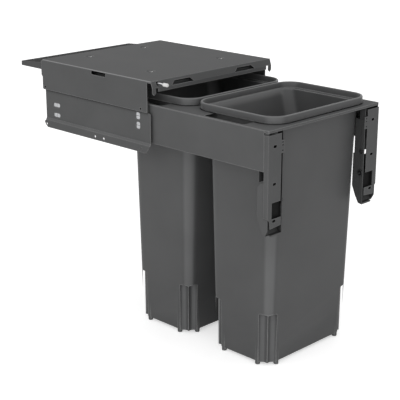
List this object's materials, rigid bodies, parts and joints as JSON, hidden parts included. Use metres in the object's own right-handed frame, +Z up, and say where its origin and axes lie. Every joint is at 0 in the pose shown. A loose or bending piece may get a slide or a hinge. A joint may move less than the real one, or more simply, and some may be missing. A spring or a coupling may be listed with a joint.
{
  "type": "pull out trash cabinet unit",
  "caption": "Pull-out waste unit for a base cabinet: steel housing, inner lid and a carrier on ball-bearing rails with hanging buckets and door brackets.",
  "frame": {"origin": "centre of the four outer screw holes in the left side, on the outer face that lies on the cabinet's left wall", "axes": "+X from the left wall to the right one, +Y from the cabinet's front to its back, +Z up"},
  "size_m": [0.414, 0.869, 0.644],
  "materials": {
    "dark_grey_powder_coat": "satin",
    "zinc_plated_steel": "satin",
    "bright_steel": "polished",
    "dark_screw_steel": "satin",
    "bucket_plastic": "matt",
    "lid_plastic": "matt",
    "white_plastic": "matt",
    "black_plastic": "matt",
    "black_rubber": "matt"
  },
  "bodies": {
    "housing": {"housing_cover": "dark_grey_powder_coat", "left_side_plate": "dark_grey_powder_coat", "right_side_plate": "dark_grey_powder_coat", "left_rail_bracket": "zinc_plated_steel", "right_rail_bracket": "zinc_plated_steel", "left_cabinet_rail": "zinc_plated_steel", "right_cabinet_rail": "zinc_plated_steel", "left_rail_rivets": "zinc_plated_steel", "right_rail_rivets": "zinc_plated_steel", "left_rail_buffer": "black_rubber", "right_rail_buffer": "black_rubber", "lid_bolts": "dark_screw_steel", "damper_cylinder": "bright_steel", "damper_holder": "black_plastic"},
    "lid": {"inner_lid": "lid_plastic"},
    "damper_pin": {"damper_rod": "bright_steel", "damper_tip": "white_plastic"},
    "left_middle": {"left_middle_rail": "zinc_plated_steel"},
    "right_middle": {"right_middle_rail": "zinc_plated_steel"},
    "left_rear_bearing": {"left_rear_ball_cage": "bright_steel", "left_rear_balls": "bright_steel"},
    "right_rear_bearing": {"right_rear_ball_cage": "bright_steel", "right_rear_balls": "bright_steel"},
    "left_front_bearing": {"left_front_ball_cage": "bright_steel", "left_front_balls": "bright_steel"},
    "right_front_bearing": {"right_front_ball_cage": "bright_steel", "right_front_balls": "bright_steel"},
    "carrier": {"carrier_frame": "dark_grey_powder_coat", "left_side_panel": "dark_grey_powder_coat", "right_side_panel": "dark_grey_powder_coat", "rear_panel": "dark_grey_powder_coat", "crossbar": "dark_grey_powder_coat", "left_carrier_rail": "zinc_plated_steel", "right_carrier_rail": "zinc_plated_steel", "left_rail_studs": "zinc_plated_steel", "right_rail_studs": "zinc_plated_steel", "left_bracket_holder": "dark_grey_powder_coat", "right_bracket_holder": "dark_grey_powder_coat", "left_door_bracket": "dark_grey_powder_coat", "right_door_bracket": "dark_grey_powder_coat", "left_adjuster_block": "black_plastic", "right_adjuster_block": "black_plastic", "left_adjuster_screws": "dark_screw_steel", "right_adjuster_screws": "dark_screw_steel", "front_bucket": "bucket_plastic", "rear_bucket": "bucket_plastic"}
  },
  "joints": [
    {"name": "carrier_slide", "type": "slide", "parent": "housing", "child": "carrier", "axis": [0, 1, 0], "range_m": [-0.045, 0.35]},
    {"name": "left_middle_slide", "type": "slide", "parent": "housing", "child": "left_middle", "axis": [0, 1, 0], "range_m": [-0.0225, 0.175]},
    {"name": "left_rear_bearing_slide", "type": "slide", "parent": "housing", "child": "left_rear_bearing", "axis": [0, 1, 0], "range_m": [-0.01125, 0.0875]},
    {"name": "left_front_bearing_slide", "type": "slide", "parent": "housing", "child": "left_front_bearing", "axis": [0, 1, 0], "range_m": [-0.03375, 0.2625]},
    {"name": "right_middle_slide", "type": "slide", "parent": "housing", "child": "right_middle", "axis": [0, 1, 0], "range_m": [-0.0225, 0.175]},
    {"name": "right_rear_bearing_slide", "type": "slide", "parent": "housing", "child": "right_rear_bearing", "axis": [0, 1, 0], "range_m": [-0.01125, 0.0875]},
    {"name": "right_front_bearing_slide", "type": "slide", "parent": "housing", "child": "right_front_bearing", "axis": [0, 1, 0], "range_m": [-0.03375, 0.2625]},
    {"name": "damper_push", "type": "slide", "parent": "housing", "child": "damper_pin", "axis": [0, 1, 0], "range_m": [0, 0.035], "stiffness_N_per_m": 100, "springref_m": -0.02},
    {"name": "lid_lift", "type": "slide", "parent": "housing", "child": "lid", "axis": [0, 0, 1], "range_m": [0, 0.006]}
  ],
  "couplings": [
    {"joint": "left_middle_slide", "follows": "carrier_slide", "ratio": 0.5},
    {"joint": "left_rear_bearing_slide", "follows": "carrier_slide", "ratio": 0.25},
    {"joint": "left_front_bearing_slide", "follows": "carrier_slide", "ratio": 0.75},
    {"joint": "right_middle_slide", "follows": "carrier_slide", "ratio": 0.5},
    {"joint": "right_rear_bearing_slide", "follows": "carrier_slide", "ratio": 0.25},
    {"joint": "right_front_bearing_slide", "follows": "carrier_slide", "ratio": 0.75}
  ]
}
